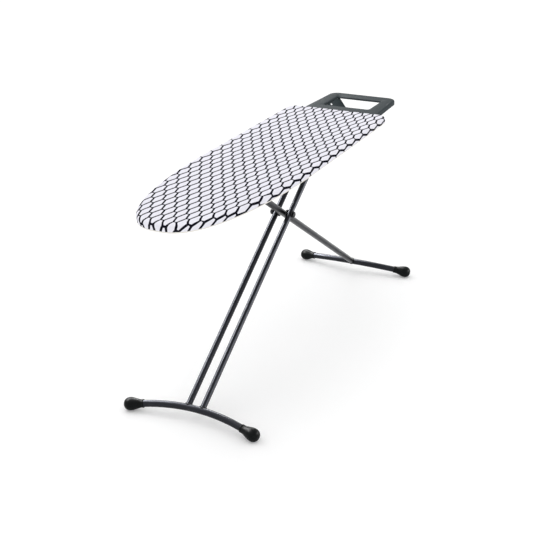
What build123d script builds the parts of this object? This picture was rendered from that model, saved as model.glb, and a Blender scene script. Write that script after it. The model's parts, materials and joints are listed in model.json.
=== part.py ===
"""Ironing board: padded steel top, scissor legs, release comb and iron rest. Millimetres, +Z up.

+X runs along the board from the narrow nose to the iron rest, and the floor is z = 0.
The origin is under the middle of the whole object.
"""
from build123d import *
import math
import os

# ---------------------------------------------------------------- driving dimensions
BOARD_LENGTH = 1260.0
BOARD_WIDTH = 380.0
NOSE_LENGTH = 612.6          # from the nose tip to where the sides become straight
NOSE_FULLNESS = 2.634        # exponent of the nose curve, 2 would be an ellipse
REAR_CORNER = 40.0
TOP_HEIGHT = 694.8           # height of the ironing surface in this setting
REST_REACH = 250.0           # how far the iron rest stands out behind the board

LEG_ANGLE = 33.6             # both legs from the horizontal, as stored
LEG_ANGLE_HIGH = 51.0
LEG_ANGLE_FOLDED = 4.0
HINGE_DROP = 44.0            # from the ironing surface down to the leg hinges
UPPER_ARM = 349.3            # from the scissor pivot to either top hinge

FRONT_TUBE_R = 9.5
FRONT_TUBE_SPACING = 49.0
REAR_TUBE_R = 11.0
TUBE_WALL = 1.5
FOOT_BAR_R = 11.0
FOOT_SPAN = 465.0            # over the rubber caps
FOOT_BEND = 15.0             # each end of a foot bar turns down by this many degrees
CAP_R = 21.0
CAP_NECK_R = 13.0
CAP_NECK_LENGTH = 44.0       # from the bulb's centre back to the open end
CAP_LIP = 1.5
CAP_BORE_END = 0.0           # the bore stops this far past the bulb's centre

PIN_R = 5.0
PIN_RUNNING_GAP = 0.05
SLEEVE_R = 10.0

# ---------------------------------------------------------------- worked-out positions
TOTAL_LENGTH = BOARD_LENGTH + REST_REACH
NOSE_X = -TOTAL_LENGTH / 2
REAR_X = NOSE_X + BOARD_LENGTH
SIDE_START_X = NOSE_X + NOSE_LENGTH
REST_END_X = TOTAL_LENGTH / 2

angle = math.radians(LEG_ANGLE)
HINGE_Z = TOP_HEIGHT - HINGE_DROP
PIVOT_Z = HINGE_Z - UPPER_ARM * math.sin(angle)
PIVOT_X = 34.5
LOWER_ARM = (PIVOT_Z - CAP_R) / math.sin(angle)     # from the pivot to the line between the caps
FRONT_HINGE_X = PIVOT_X + UPPER_ARM * math.cos(angle)
SLIDE_X = PIVOT_X - UPPER_ARM * math.cos(angle)


def slide_x(leg_angle):
    """Where the sliding axle stands when the legs make this angle with the board."""
    return FRONT_HINGE_X - 2 * UPPER_ARM * math.cos(math.radians(leg_angle))


SLIDE_X_HIGH = slide_x(LEG_ANGLE_HIGH)
SLIDE_X_FOLDED = slide_x(LEG_ANGLE_FOLDED)

# layers of the top, from the ironing surface down
COVER_WALL = 1.2
COVER_EDGE_R = 7.0
COVER_BOTTOM = TOP_HEIGHT - 23.4
HEM_WIDTH = 32.0
LAYER_GAP = 0.3
PAD_INSET = COVER_WALL + LAYER_GAP
PAD_THICKNESS = 6.3
PAD_TOP = TOP_HEIGHT - PAD_INSET
PAD_BOTTOM = PAD_TOP - PAD_THICKNESS
PANEL_THICKNESS = 0.8
TOUCH_GAP = 0.1              # between pieces that rest against each other
PANEL_TOP = PAD_BOTTOM - TOUCH_GAP
PANEL_BOTTOM = PANEL_TOP - PANEL_THICKNESS
PANEL_INSET = 3.0
UNDERSIDE = PANEL_BOTTOM - TOUCH_GAP
RIM_R = 6.0
RIM_INSET = 10.0
RIM_EDGE_R = 4.0
RIM_WALL = 1.6
RIM_Z = UNDERSIDE - RIM_R

HEX_HOLE_R = 9.0
HEX_PITCH = 40.0
HEX_MARGIN = 34.0

SIDES = {"left": 1, "right": -1}

os.makedirs("parts", exist_ok=True)
made = []


def keep(piece, label):
    """Labels a finished piece and writes it to its own file."""
    piece.part.label = label
    export_step(piece.part, f"parts/{label}.step")
    made.append(piece.part)


def nose_point(degrees, inset):
    """A point of the nose curve: 90 is where the left side starts, 0 is the tip."""
    turn = math.radians(abs(degrees))
    x = SIDE_START_X - (NOSE_LENGTH - inset) * math.cos(turn)
    y = (BOARD_WIDTH / 2 - inset) * math.sin(turn) ** (2 / NOSE_FULLNESS)
    return (x, math.copysign(y, degrees))


def half_width(x, inset):
    """Half the board's width at x, for an outline moved in by inset."""
    if x >= SIDE_START_X:
        return BOARD_WIDTH / 2 - inset
    along = min(1.0, (SIDE_START_X - x) / (NOSE_LENGTH - inset))
    return (BOARD_WIDTH / 2 - inset) * (1 - along**2) ** (1 / NOSE_FULLNESS)


def board_outline(inset):
    """Draws the board's outline, moved in by inset, into the line block in use."""
    half = BOARD_WIDTH / 2 - inset
    rear = REAR_X - inset
    corner = max(REAR_CORNER - inset, 8.0)
    steps = (90, 75, 60, 45, 30, 20, 10)
    nose = [nose_point(a, inset) for a in steps] + [nose_point(0, inset)]
    nose += [nose_point(-a, inset) for a in reversed(steps)]
    Spline(*nose, tangents=[(-1, 0), (1, 0)])
    Line((SIDE_START_X, -half), (rear - corner, -half))
    TangentArc((rear - corner, -half), (rear, corner - half), tangent=(1, 0))
    Line((rear, corner - half), (rear, half - corner))
    TangentArc((rear, half - corner), (rear - corner, half), tangent=(0, 1))
    Line((rear - corner, half), (SIDE_START_X, half))


def slab(inset, low, high):
    """Extrudes the board's outline between two heights, into the part block in use."""
    with BuildSketch(Plane.XY.offset(low), mode=Mode.PRIVATE) as shape:
        with BuildLine():
            board_outline(inset)
        make_face()
    extrude(shape.sketch, amount=high - low)


# ---------------------------------------------------------------- the top
with BuildPart() as top_panel:
    slab(PANEL_INSET, PANEL_BOTTOM, PANEL_TOP)
    columns = int(BOARD_LENGTH / (HEX_PITCH * 0.866))
    places = []
    for column in range(columns):
        x = REAR_X - HEX_MARGIN - 12 - column * HEX_PITCH * 0.866
        for row in range(-5, 6):
            y = (row + (column % 2) / 2) * HEX_PITCH
            if abs(y) < half_width(x - 15, HEX_MARGIN) and x > NOSE_X + 60:
                places.append((x, y))
    with BuildSketch(Plane.XY.offset(PANEL_BOTTOM)):
        with Locations(*places):
            RegularPolygon(radius=HEX_HOLE_R, side_count=6)
    extrude(amount=PANEL_TOP - PANEL_BOTTOM, mode=Mode.SUBTRACT)
keep(top_panel, "top_panel")

with BuildPart() as rim_frame:
    slab(RIM_INSET - RIM_R, RIM_Z - RIM_R, RIM_Z + RIM_R)
    fillet(rim_frame.faces().sort_by(Axis.Z)[0].edges(), RIM_EDGE_R)
    with BuildSketch(Plane.XY.offset(RIM_Z - RIM_R)):
        with BuildLine():
            board_outline(RIM_INSET + RIM_R)
        make_face()
    extrude(amount=2 * RIM_R, mode=Mode.SUBTRACT)
    with BuildSketch(Plane.XY.offset(RIM_Z - RIM_R + RIM_EDGE_R)):
        with BuildLine():
            board_outline(RIM_INSET - RIM_R + RIM_WALL)
        make_face()
        with BuildLine():
            board_outline(RIM_INSET + RIM_R - RIM_WALL)
        make_face(mode=Mode.SUBTRACT)
    extrude(amount=2 * RIM_R, mode=Mode.SUBTRACT)
keep(rim_frame, "rim_frame")

with BuildPart() as padding:
    slab(PAD_INSET, PAD_BOTTOM, PAD_TOP)
    fillet(padding.faces().sort_by(Axis.Z)[-1].edges(), COVER_EDGE_R - PAD_INSET)
keep(padding, "padding")

with BuildPart() as cover_room:
    slab(COVER_WALL, COVER_BOTTOM + COVER_WALL, TOP_HEIGHT - COVER_WALL)
    fillet(cover_room.faces().sort_by(Axis.Z)[-1].edges(), COVER_EDGE_R - COVER_WALL)

with BuildPart() as cover:
    slab(0, COVER_BOTTOM, TOP_HEIGHT)
    fillet(cover.faces().sort_by(Axis.Z)[-1].edges(), COVER_EDGE_R)
    add(cover_room.part, mode=Mode.SUBTRACT)
    with BuildSketch(Plane.XY.offset(COVER_BOTTOM)):
        with BuildLine():
            board_outline(HEM_WIDTH)
        make_face()
    extrude(amount=COVER_WALL, mode=Mode.SUBTRACT)
keep(cover, "cover")

# ---------------------------------------------------------------- under the top
CHANNEL_T = 2.0
CHANNEL_DEPTH = 12.0
REAR_CHANNEL_W = 34.0
FRONT_CHANNEL_W = 24.0
CHANNEL_END_GAP = 1.0
FRONT_CHANNEL_X = SLIDE_X_FOLDED - 34


def cross_channel(x, width):
    """A channel across the board between the rims, open downwards."""
    half = half_width(x - width / 2, RIM_INSET + RIM_R + CHANNEL_END_GAP)
    with BuildSketch(Plane(origin=(x, -half, UNDERSIDE), x_dir=(1, 0, 0), z_dir=(0, 1, 0)),
                     mode=Mode.PRIVATE) as profile:
        Rectangle(width, CHANNEL_DEPTH, align=(Align.CENTER, Align.MIN))
        with Locations((0, CHANNEL_T)):
            Rectangle(width - 2 * CHANNEL_T, CHANNEL_DEPTH, align=(Align.CENTER, Align.MIN),
                      mode=Mode.SUBTRACT)
    extrude(profile.sketch, amount=2 * half)


with BuildPart() as front_channel:
    cross_channel(FRONT_CHANNEL_X, FRONT_CHANNEL_W)
keep(front_channel, "front_channel")

with BuildPart() as rear_channel:
    cross_channel(FRONT_HINGE_X, REAR_CHANNEL_W)
keep(rear_channel, "rear_channel")

# slotted plates that guide the sliding axle
RACK_T = 3.0
RACK_INNER_Y = 30.5
RACK_FLANGE_W = 18.0
BUSH_R = 8.0
BUSH_GAP = 0.3
SLOT_END = 4.0
RACK_EDGE = 6.0
RIVET_R = 2.0
RIVET_HEAD_R = 4.0
RIVET_HEAD_T = 1.6
slot_r = BUSH_R + BUSH_GAP
slot_low_x = SLIDE_X_FOLDED - SLOT_END
slot_high_x = SLIDE_X_HIGH + SLOT_END
rack_low_x = slot_low_x - slot_r - RACK_EDGE
rack_high_x = slot_high_x + slot_r + RACK_EDGE
rack_bottom = HINGE_Z - slot_r - RACK_EDGE
rivet_xs = [rack_low_x + 20 + i * (rack_high_x - rack_low_x - 40) / 3 for i in range(4)]
rivet_y = RACK_INNER_Y + RACK_T + RACK_FLANGE_W / 2
for side, s in SIDES.items():
    with BuildPart() as rack_plate:
        with BuildSketch(Plane.XZ.offset(-s * (RACK_INNER_Y + RACK_T / 2))):
            with Locations(((rack_low_x + rack_high_x) / 2, (rack_bottom + UNDERSIDE) / 2)):
                RectangleRounded(rack_high_x - rack_low_x, UNDERSIDE - rack_bottom, 5)
            with Locations(((slot_low_x + slot_high_x) / 2, HINGE_Z)):
                SlotCenterToCenter(slot_high_x - slot_low_x, 2 * slot_r, mode=Mode.SUBTRACT)
        extrude(amount=RACK_T / 2, both=True)
        with BuildSketch(Plane.XY.offset(UNDERSIDE)):
            with Locations(((rack_low_x + rack_high_x) / 2,
                            s * (RACK_INNER_Y + (RACK_T + RACK_FLANGE_W) / 2))):
                Rectangle(rack_high_x - rack_low_x, RACK_T + RACK_FLANGE_W)
            with Locations(*[(x, s * rivet_y) for x in rivet_xs]):
                Circle(RIVET_R, mode=Mode.SUBTRACT)
        extrude(amount=-CHANNEL_T)
    keep(rack_plate, f"rack_plate_{side}")

with BuildPart() as rack_rivets:
    for s in SIDES.values():
        with BuildSketch(Plane.XY.offset(UNDERSIDE)):
            with Locations(*[(x, s * rivet_y) for x in rivet_xs]):
                Circle(RIVET_R)
        extrude(amount=-CHANNEL_T)
        with BuildSketch(Plane.XY.offset(UNDERSIDE - CHANNEL_T)):
            with Locations(*[(x, s * rivet_y) for x in rivet_xs]):
                Circle(RIVET_HEAD_R)
        extrude(amount=-RIVET_HEAD_T, taper=20)
keep(rack_rivets, "rack_rivets")

# front leg's hinge: two ears under the rear channel, and the pin they hold
EAR_T = 3.0
EAR_INNER_Y = 38.0
EAR_HALF_W = 14.0
PIN_HALF_LENGTH = 47.0
CLIP_R = 8.0
CLIP_T = 2.0
for side, s in SIDES.items():
    with BuildPart() as ear:
        with BuildSketch(Plane.XZ.offset(-s * (EAR_INNER_Y + EAR_T / 2))):
            with Locations((FRONT_HINGE_X, HINGE_Z)):
                Circle(EAR_HALF_W)
                Rectangle(2 * EAR_HALF_W, UNDERSIDE - CHANNEL_T - HINGE_Z,
                          align=(Align.CENTER, Align.MIN))
                Circle(PIN_R, mode=Mode.SUBTRACT)
        extrude(amount=EAR_T / 2, both=True)
    keep(ear, f"hinge_ear_{side}")

with BuildPart() as hinge_pin:
    with BuildSketch(Plane.XZ):
        with Locations((FRONT_HINGE_X, HINGE_Z)):
            Circle(PIN_R)
    extrude(amount=PIN_HALF_LENGTH, both=True)
    chamfer(hinge_pin.edges().filter_by(GeomType.CIRCLE), 0.8)
keep(hinge_pin, "hinge_pin")


def clip_pair(x, z, inner_y):
    """Two push-on clips on the ends of a pin across the board."""
    for s in SIDES.values():
        with BuildSketch(Plane.XZ.offset(-s * (inner_y + CLIP_T / 2)), mode=Mode.PRIVATE) as ring:
            with Locations((x, z)):
                Circle(CLIP_R)
                Circle(PIN_R, mode=Mode.SUBTRACT)
        extrude(ring.sketch, amount=CLIP_T / 2, both=True)


with BuildPart() as hinge_clips:
    clip_pair(FRONT_HINGE_X, HINGE_Z, EAR_INNER_Y + EAR_T)
keep(hinge_clips, "hinge_clips")

# ---------------------------------------------------------------- release comb and lever
ROD_R = 3.0
ROD_Z = TOP_HEIGHT - 20.0
ROD_LOW_X = -345.0
COMB_LOW_X = -326.0
COMB_HIGH_X = -106.0
COMB_T = 3.0
COMB_Y = 15.5
COMB_CLEAR = 0.5             # the tooth tips stand this far above the sliding axle
TOOTH_PITCH = 27.0
NOTCH_R = 5.6
BEARING_T = 3.0
BEARING_HALF_W = 8.0
BEARING_XS = (-334.0, -94.0)
LEVER_DROP = 18.0            # the lever arm slopes down by this many degrees
ARM_X = -68.0
GRIP_FROM = 92.0
GRIP_LENGTH = 55.0
GRIP_R = 8.0
comb_bottom = HINGE_Z + PIN_R + COMB_CLEAR
comb_top = ROD_Z + COMB_T / 2

with BuildPart() as comb_bearings:
    for x in BEARING_XS:
        with BuildSketch(Plane.YZ.offset(x)):
            with Locations((0, ROD_Z)):
                Circle(BEARING_HALF_W)
                Rectangle(2 * BEARING_HALF_W, UNDERSIDE - ROD_Z, align=(Align.CENTER, Align.MIN))
                Circle(ROD_R + PIN_RUNNING_GAP, mode=Mode.SUBTRACT)
        extrude(amount=BEARING_T / 2, both=True)
keep(comb_bearings, "comb_bearings")

drop = math.radians(LEVER_DROP)
arm_end = GRIP_FROM + GRIP_LENGTH - 4
with BuildPart() as lever_rod:
    with BuildLine() as rod_path:
        FilletPolyline(
            (ROD_LOW_X, 0, ROD_Z),
            (ARM_X, 0, ROD_Z),
            (ARM_X, arm_end * math.cos(drop), ROD_Z - arm_end * math.sin(drop)),
            radius=7,
        )
    with BuildSketch(Plane(origin=rod_path.line @ 0, z_dir=rod_path.line % 0)):
        Circle(ROD_R)
    sweep(path=rod_path.line)
keep(lever_rod, "lever_rod")

with BuildPart() as locking_comb:
    with BuildSketch(Plane.XZ.offset(-COMB_Y)):
        with Locations(((COMB_LOW_X + COMB_HIGH_X) / 2, (comb_bottom + comb_top) / 2)):
            Rectangle(COMB_HIGH_X - COMB_LOW_X, comb_top - comb_bottom)
        notch_xs = [SLIDE_X + i * TOOTH_PITCH for i in range(-2, 6)]
        with Locations(*[(x, comb_bottom) for x in notch_xs]):
            Circle(NOTCH_R, mode=Mode.SUBTRACT)
    extrude(amount=-COMB_T)
    with Locations(((COMB_LOW_X + COMB_HIGH_X) / 2, 0, ROD_Z)):
        Box(COMB_HIGH_X - COMB_LOW_X, COMB_Y + COMB_T, COMB_T,
            align=(Align.CENTER, Align.MIN, Align.CENTER))
    add(lever_rod.part, mode=Mode.SUBTRACT)
keep(locking_comb, "locking_comb")

arm_direction = Vector(0, math.cos(drop), -math.sin(drop))
grip_start = Vector(ARM_X, 0, ROD_Z) + arm_direction * GRIP_FROM
with BuildPart() as lever_grip:
    with BuildSketch(Plane(origin=grip_start, z_dir=arm_direction)):
        SlotCenterToCenter(8, 2 * GRIP_R)
    extrude(amount=GRIP_LENGTH)
    fillet(lever_grip.faces().sort_by(Axis.Y)[-1].edges(), 5)
    fillet(lever_grip.faces().sort_by(Axis.Y)[0].edges(), 3)
    add(lever_rod.part, mode=Mode.SUBTRACT)
keep(lever_grip, "lever_grip")

SPRING_R = 5.2
SPRING_WIRE_R = 0.7
SPRING_PITCH = 2.2
SPRING_TURNS = 5
with BuildPart() as return_spring:
    with BuildLine() as coil:
        Helix(pitch=SPRING_PITCH, height=SPRING_PITCH * SPRING_TURNS, radius=SPRING_R,
              center=(-90.0, 0, ROD_Z), direction=(1, 0, 0))
    with BuildSketch(Plane(origin=coil.line @ 0, z_dir=coil.line % 0)):
        Circle(SPRING_WIRE_R)
    sweep(path=coil.line, is_frenet=True)
keep(return_spring, "return_spring")

# ---------------------------------------------------------------- iron rest
REST_TOP = TOP_HEIGHT - 6.5
REST_WALL = 3.0
REST_DEPTH = 17.0            # of the outer walls
OPENING_DEPTH = 8.0          # of the walls round the opening
REST_NEAR_HALF = 141.0
REST_FAR_HALF = 130.0
REST_FAR_CORNER = 34.0
REST_NEAR_CORNER = 10.0
REST_GAP = 1.5
OPENING_NEAR_X = REAR_X + 65.0
OPENING_FAR_X = REAR_X + 203.0
OPENING_HALF = 89.0
OPENING_CORNER = 10.0
ARM_Y = 108.0
ARM_W = 18.0
ARM_T = 4.0
ARM_TOP = COVER_BOTTOM - LAYER_GAP
ARM_LOW_X = REAR_X - 110.0
ARM_HIGH_X = REST_END_X - 20.0
BOSS_R = 5.0
SCREW_R = 2.0
SCREW_HEAD_R = 4.0
SCREW_HEAD_T = 2.4
SCREW_LENGTH = 9.0
screw_places = [(x, s * ARM_Y) for x in (REAR_X + 42, REAR_X + 196) for s in (1, -1)]
rest_near_x = REAR_X + REST_GAP


def rest_outline(inset):
    """Draws the iron rest's outline, wider at the board and well rounded at its free end."""
    near, far = REST_NEAR_HALF - inset, REST_FAR_HALF - inset
    x0, x1 = rest_near_x + inset, REST_END_X - inset
    FilletPolyline(
        (x0, -near), (x1, -far), (x1, far), (x0, near),
        radius=[REST_NEAR_CORNER - inset / 2, REST_FAR_CORNER - inset,
                REST_FAR_CORNER - inset, REST_NEAR_CORNER - inset / 2],
        close=True,
    )


opening_center = ((OPENING_NEAR_X + OPENING_FAR_X) / 2, 0)
opening_size = (OPENING_FAR_X - OPENING_NEAR_X, 2 * OPENING_HALF)
with BuildPart() as iron_rest:
    with BuildSketch(Plane.XY.offset(REST_TOP)):
        with BuildLine():
            rest_outline(0)
        make_face()
    extrude(amount=-REST_DEPTH)
    fillet(iron_rest.faces().sort_by(Axis.Z)[-1].edges(), 3)
    with BuildSketch(Plane.XY.offset(REST_TOP - REST_DEPTH)):
        with BuildLine():
            rest_outline(REST_WALL)
        make_face()
        with Locations(opening_center):
            RectangleRounded(opening_size[0] + 2 * REST_WALL, opening_size[1] + 2 * REST_WALL,
                             OPENING_CORNER + REST_WALL, mode=Mode.SUBTRACT)
    extrude(amount=REST_DEPTH - REST_WALL, mode=Mode.SUBTRACT)
    with BuildSketch(Plane.XY.offset(REST_TOP - REST_DEPTH)):
        with Locations(opening_center):
            RectangleRounded(opening_size[0] + 2 * REST_WALL, opening_size[1] + 2 * REST_WALL,
                             OPENING_CORNER + REST_WALL)
    extrude(amount=REST_DEPTH - OPENING_DEPTH, mode=Mode.SUBTRACT)
    with BuildSketch(Plane.XY.offset(ARM_TOP)):
        with Locations(*screw_places):
            Circle(BOSS_R)
    extrude(amount=REST_TOP - REST_WALL - ARM_TOP)
    with BuildSketch(Plane.XY.offset(REST_TOP)):
        with Locations(opening_center):
            RectangleRounded(*opening_size, OPENING_CORNER)
    extrude(amount=-REST_DEPTH, mode=Mode.SUBTRACT)
    with BuildSketch(Plane.XY.offset(ARM_TOP)):
        with Locations(*screw_places):
            Circle(SCREW_R)
    extrude(amount=SCREW_LENGTH - ARM_T, mode=Mode.SUBTRACT)
keep(iron_rest, "iron_rest")

with BuildPart() as rest_spacers:
    with Locations(*[(ARM_LOW_X + 14, s * ARM_Y, ARM_TOP) for s in SIDES.values()]):
        Box(20, ARM_W, UNDERSIDE - ARM_TOP, align=(Align.CENTER, Align.CENTER, Align.MIN))
keep(rest_spacers, "rest_spacers")

for side, s in SIDES.items():
    with BuildPart() as rest_arm:
        with BuildSketch(Plane.XY.offset(ARM_TOP)):
            with Locations(((ARM_LOW_X + ARM_HIGH_X) / 2, s * ARM_Y)):
                RectangleRounded(ARM_HIGH_X - ARM_LOW_X, ARM_W, 6)
            with Locations(*[p for p in screw_places if p[1] * s > 0]):
                Circle(SCREW_R, mode=Mode.SUBTRACT)
        extrude(amount=-ARM_T)
    keep(rest_arm, f"rest_arm_{side}")

with BuildPart() as rest_screws:
    with BuildSketch(Plane.XY.offset(ARM_TOP - ARM_T)):
        with Locations(*screw_places):
            Circle(SCREW_R)
    extrude(amount=SCREW_LENGTH)
    with BuildSketch(Plane.XY.offset(ARM_TOP - ARM_T)):
        with Locations(*screw_places):
            Circle(SCREW_HEAD_R)
    extrude(amount=-SCREW_HEAD_T, taper=15)
keep(rest_screws, "rest_screws")

# leaning plates that stiffen the rest, tied together behind the end of the board
GUSSET_T = 2.5
GUSSET_TOP_Y = OPENING_HALF
GUSSET_DROP = 50.0           # down the leaning plate
GUSSET_LEAN = 45.0
GUSSET_NEAR_X = REAR_X + 18.0
GUSSET_NEAR_TOP_X = REAR_X + 109.0
GUSSET_FAR_TOP_X = REAR_X + 215.0
GUSSET_FAR_LOW_X = REAR_X + 201.0
GUSSET_NEAR_DROP = 30.0
GUSSET_HOLE_X = REAR_X + 129.0
GUSSET_HOLE_DROP = 7.0
GUSSET_HOLE = (8.0, 4.5)     # half length and half height
TIE_W = 32.0
TIE_T = 2.0
gusset_top_z = REST_TOP - OPENING_DEPTH - GUSSET_T / 2
lean = math.radians(GUSSET_LEAN)
for side, s in SIDES.items():
    lean_plane = Plane(
        origin=(0, s * GUSSET_TOP_Y, gusset_top_z),
        x_dir=(1, 0, 0),
        z_dir=(0, -math.sin(lean), s * math.cos(lean)),
    )
    down = -1 if lean_plane.y_dir.Z > 0 else 1
    with BuildPart() as rest_gusset:
        with BuildSketch(lean_plane):
            with BuildLine():
                Polyline(
                    (GUSSET_NEAR_TOP_X, 0), (GUSSET_FAR_TOP_X, 0),
                    (GUSSET_FAR_LOW_X, down * GUSSET_DROP), (GUSSET_NEAR_X, down * GUSSET_DROP),
                    (GUSSET_NEAR_X, down * GUSSET_NEAR_DROP), close=True,
                )
            make_face()
            with Locations((GUSSET_HOLE_X, down * GUSSET_HOLE_DROP)):
                Ellipse(*GUSSET_HOLE, mode=Mode.SUBTRACT)
        extrude(amount=GUSSET_T / 2, both=True)
    keep(rest_gusset, f"rest_gusset_{side}")

gusset_low_y = GUSSET_TOP_Y - GUSSET_DROP * math.sin(lean)
gusset_low_z = gusset_top_z - GUSSET_DROP * math.cos(lean)
with BuildPart() as rest_tie:
    with Locations((GUSSET_NEAR_X + TIE_W / 2, 0, gusset_low_z - GUSSET_T)):
        Box(TIE_W, 2 * (gusset_low_y + TIE_T), TIE_T, align=(Align.CENTER, Align.CENTER, Align.MAX))
keep(rest_tie, "rest_tie")

# ---------------------------------------------------------------- legs
PIVOT_BUSH_R = 7.0
WASHER_R = 12.0
WASHER_T = 2.0
SPACER_R = 13.0
SIDE_GAP = 0.3
HEAD_ACROSS = 17.0
HEAD_T = 6.0
NUT_T = 8.0
tube_y = FRONT_TUBE_SPACING / 2
tube_inner_y = tube_y - FRONT_TUBE_R
tube_outer_y = tube_y + FRONT_TUBE_R
bush_half = REAR_TUBE_R + 1.0

bend = math.radians(FOOT_BEND)
FOOT_STRAIGHT = 50.0
foot_half = FOOT_SPAN / 2 - CAP_R * math.cos(bend) - 1.0
foot_radius = (foot_half - FOOT_STRAIGHT * math.cos(bend)) / math.sin(bend)
foot_rise = foot_radius * (1 - math.cos(bend)) + FOOT_STRAIGHT * math.sin(bend)


def leg_plane(toward):
    """The plane a leg lies in: x across the board, y up the leg, origin at the scissor pivot.

    toward is 1 for the front leg, whose top hinge is behind the pivot, and -1 for the rear leg.
    """
    return Plane(
        origin=(PIVOT_X, 0, PIVOT_Z),
        x_dir=(0, 1, 0),
        z_dir=(math.sin(angle), 0, -toward * math.cos(angle)),
    )


def across_leg(toward, up):
    """A plane square to a leg, this far up from the scissor pivot."""
    plane = leg_plane(toward)
    return Plane(origin=plane.from_local_coords((0, up, 0)), x_dir=(0, 1, 0), z_dir=plane.y_dir)


def foot_path(toward):
    """Draws the arched centreline of a foot bar into the line block in use."""
    low = -LOWER_ARM
    knee = (foot_half - FOOT_STRAIGHT * math.cos(bend), low + FOOT_STRAIGHT * math.sin(bend))
    plane = leg_plane(toward)

    def at(x, y):
        return plane.from_local_coords(Vector(x, y, 0))

    Line(at(-foot_half, low), at(-knee[0], knee[1]))
    ThreePointArc(at(-knee[0], knee[1]), at(0, low + foot_rise), at(*knee))
    Line(at(*knee), at(foot_half, low))


# a rubber foot cap about the X axis, with its bulb's centre at the origin and its mouth at -X
with BuildPart() as cap_shape:
    with BuildSketch():
        with BuildLine():
            neck = Line((-CAP_NECK_LENGTH, 0), (-CAP_NECK_LENGTH, CAP_NECK_R - CAP_LIP))
            lip = RadiusArc(neck @ 1, (-CAP_NECK_LENGTH + CAP_LIP, CAP_NECK_R), CAP_LIP)
            flare = Spline(lip @ 1, (-CAP_NECK_LENGTH / 2, CAP_NECK_R + 2.2), (0, CAP_R),
                           tangents=[(1, 0), (1, 0)])
            dome = RadiusArc(flare @ 1, (CAP_R, 0), CAP_R)
            Line(dome @ 1, neck @ 0)
        make_face()
    revolve(axis=Axis.X)
    with BuildSketch(Plane.YZ.offset(CAP_BORE_END)):
        Circle(FOOT_BAR_R)
    extrude(amount=-(CAP_NECK_LENGTH + CAP_BORE_END + 1), mode=Mode.SUBTRACT)


def foot_space(toward):
    """The full round space of a foot bar, to cut a leg tube's end to."""
    with BuildPart() as space:
        with BuildLine() as path:
            foot_path(toward)
        with BuildSketch(Plane(origin=path.line @ 0, z_dir=path.line % 0)):
            Circle(FOOT_BAR_R)
        sweep(path=path.line)
    return space.part


def foot_parts(toward, name):
    """Makes a leg's foot bar and its two rubber caps."""
    with BuildPart() as bar:
        with BuildLine() as path:
            foot_path(toward)
        with BuildSketch(Plane(origin=path.line @ 0, z_dir=path.line % 0)):
            Circle(FOOT_BAR_R)
            Circle(FOOT_BAR_R - TUBE_WALL, mode=Mode.SUBTRACT)
        sweep(path=path.line)
    keep(bar, f"{name}_foot_bar")
    plane = leg_plane(toward)
    for side, s in SIDES.items():
        centre = plane.from_local_coords(Vector(s * foot_half, -LOWER_ARM, 0))
        outward = plane.x_dir * (s * math.cos(bend)) - plane.y_dir * math.sin(bend)
        with BuildPart() as cap:
            with Locations(Plane(origin=centre, x_dir=outward, z_dir=plane.z_dir)):
                add(cap_shape.part)
        keep(cap, f"{name}_cap_{side}")


def pivot_disc(radius, hole_r, inner_y, thickness, sides=(1, -1)):
    """Flat rings on the scissor pivot, one on each side given."""
    for s in sides:
        plane = Plane(origin=(PIVOT_X, s * inner_y, PIVOT_Z), z_dir=(0, s, 0))
        with BuildSketch(plane, mode=Mode.PRIVATE) as ring:
            Circle(radius)
            Circle(hole_r, mode=Mode.SUBTRACT)
        extrude(ring.sketch, amount=thickness)


# front leg: two tubes, a sleeve across their top and an arched foot
foot_parts(1, "front")

with BuildPart() as front_sleeve:
    with BuildSketch(Plane.XZ):
        with Locations((FRONT_HINGE_X, HINGE_Z)):
            Circle(SLEEVE_R)
            Circle(PIN_R + PIN_RUNNING_GAP, mode=Mode.SUBTRACT)
    extrude(amount=EAR_INNER_Y - SIDE_GAP, both=True)
keep(front_sleeve, "front_sleeve")

with BuildPart() as front_sleeve_space:
    with BuildSketch(Plane.XZ):
        with Locations((FRONT_HINGE_X, HINGE_Z)):
            Circle(SLEEVE_R)
    extrude(amount=EAR_INNER_Y, both=True)

for side, s in SIDES.items():
    with BuildPart() as front_tube:
        with BuildSketch(across_leg(1, -LOWER_ARM + foot_rise)):
            with Locations((s * tube_y, 0)):
                Circle(FRONT_TUBE_R)
                Circle(FRONT_TUBE_R - TUBE_WALL, mode=Mode.SUBTRACT)
        extrude(amount=UPPER_ARM + LOWER_ARM - foot_rise)
        add(front_sleeve_space.part, mode=Mode.SUBTRACT)
        add(foot_space(1), mode=Mode.SUBTRACT)
        with BuildSketch(Plane.XZ):
            with Locations((PIVOT_X, PIVOT_Z)):
                Circle(PIN_R)
        extrude(amount=FOOT_SPAN / 2, both=True, mode=Mode.SUBTRACT)
        front_tube.part = Part(front_tube.solids().sort_by(SortBy.VOLUME)[-1:])
    keep(front_tube, f"front_tube_{side}")

bolt_head_y = tube_outer_y + WASHER_T
with BuildPart() as pivot_bolt:
    with BuildSketch(Plane.XZ.offset(bolt_head_y)):
        with Locations((PIVOT_X, PIVOT_Z)):
            RegularPolygon(radius=HEAD_ACROSS / 2, side_count=6, major_radius=False)
    extrude(amount=HEAD_T)
    chamfer(pivot_bolt.faces().sort_by(Axis.Y)[0].edges(), 0.8)
    with BuildSketch(Plane.XZ.offset(bolt_head_y)):
        with Locations((PIVOT_X, PIVOT_Z)):
            Circle(PIN_R)
    extrude(amount=-(2 * bolt_head_y + NUT_T + 2))
keep(pivot_bolt, "pivot_bolt")

with BuildPart() as pivot_nut:
    with BuildSketch(Plane.XZ.offset(-bolt_head_y)):
        with Locations((PIVOT_X, PIVOT_Z)):
            RegularPolygon(radius=HEAD_ACROSS / 2, side_count=6, major_radius=False)
            Circle(PIN_R, mode=Mode.SUBTRACT)
    extrude(amount=-NUT_T)
keep(pivot_nut, "pivot_nut")

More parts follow.
